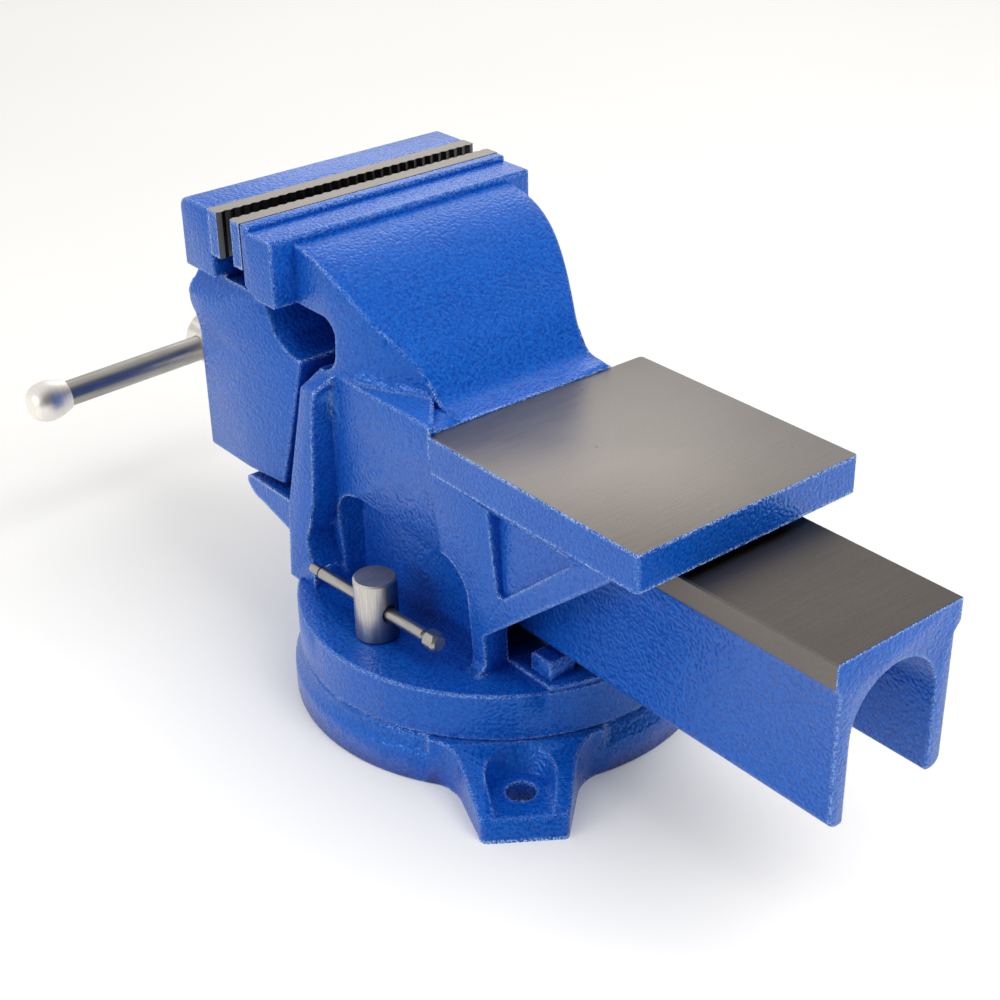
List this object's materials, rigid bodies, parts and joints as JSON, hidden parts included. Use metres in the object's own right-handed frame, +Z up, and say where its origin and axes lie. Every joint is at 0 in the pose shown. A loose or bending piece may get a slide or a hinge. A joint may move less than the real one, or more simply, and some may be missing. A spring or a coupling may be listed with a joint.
{
  "type": "swivel bench vise",
  "caption": "Swivel bench vise with sliding front jaw on a hollow beam, screw spindle with sliding handle, anvil and a round base that locks in any direction.",
  "frame": {"origin": "on the swivel axis at bench level", "axes": "+X to the operator's right, -Y to the operator with the handle and front jaw, +Y to the beam's rear end, +Z up along the swivel axis"},
  "size_m": [0.2374, 0.503, 0.225],
  "materials": {
    "blue_paint": "hammered gloss",
    "jaw_steel": "ground",
    "dark_steel": "satin",
    "bright_steel": "polished",
    "nut_iron": "raw"
  },
  "bodies": {
    "base": {"swivel_base": "blue_paint"},
    "body": {"fixed_body": "blue_paint", "fixed_jaw_plate": "jaw_steel", "fixed_plate_screws": "dark_steel", "spindle_nut": "nut_iron", "nut_bolt": "dark_steel", "pivot_bolt": "dark_steel", "pivot_washer": "dark_steel", "pivot_nut": "dark_steel", "lock_bolt_right": "dark_steel", "lock_bolt_left": "dark_steel"},
    "jaw": {"movable_jaw": "blue_paint", "movable_jaw_plate": "jaw_steel", "movable_plate_screws": "dark_steel"},
    "spindle": {"spindle": "bright_steel", "thrust_washer": "bright_steel", "spindle_collar": "dark_steel", "collar_pin": "bright_steel"},
    "handle": {"handle_bar": "bright_steel", "handle_knob_right": "bright_steel", "handle_knob_left": "bright_steel"},
    "lock_nut_right": {"lock_nut_right": "bright_steel"},
    "lock_bar_right": {"lock_bar_right": "bright_steel", "lock_knob_right": "bright_steel"},
    "lock_nut_left": {"lock_nut_left": "bright_steel"},
    "lock_bar_left": {"lock_bar_left": "bright_steel", "lock_knob_left": "bright_steel"}
  },
  "joints": [
    {"name": "swivel", "type": "hinge", "parent": "base", "child": "body", "pos_m": [0, 0, 0.0248], "axis": [0, 0, 1], "continuous": true},
    {"name": "jaw_slide", "type": "slide", "parent": "body", "child": "jaw", "axis": [0, -1, 0], "range_m": [-0.0097, 0.14]},
    {"name": "spindle_spin", "type": "hinge", "parent": "jaw", "child": "spindle", "pos_m": [0, -0.18, 0.092], "axis": [0, -1, 0], "range_deg": [-698, 10079]},
    {"name": "handle_slide", "type": "slide", "parent": "spindle", "child": "handle", "axis": [0.9995, 0, -0.0314], "range_m": [-0.08, 0.08]},
    {"name": "lock_turn_right", "type": "hinge", "parent": "body", "child": "lock_nut_right", "pos_m": [0.073, 0, 0.064], "axis": [0, 0, 1], "range_deg": [-28.5, 4.5]},
    {"name": "lock_bar_slide_right", "type": "slide", "parent": "lock_nut_right", "child": "lock_bar_right", "axis": [-0.061, 0.9981, 0], "range_m": [-0.0035, 0.022]},
    {"name": "lock_turn_left", "type": "hinge", "parent": "body", "child": "lock_nut_left", "pos_m": [-0.073, 0, 0.064], "axis": [0, 0, 1], "range_deg": [-4.5, 28.5]},
    {"name": "lock_bar_slide_left", "type": "slide", "parent": "lock_nut_left", "child": "lock_bar_left", "axis": [0.061, 0.9981, 0], "range_m": [-0.0035, 0.022]}
  ],
  "couplings": [
    {"joint": "jaw_slide", "follows": "spindle_spin", "m_per_rad": 0.00079577}
  ]
}
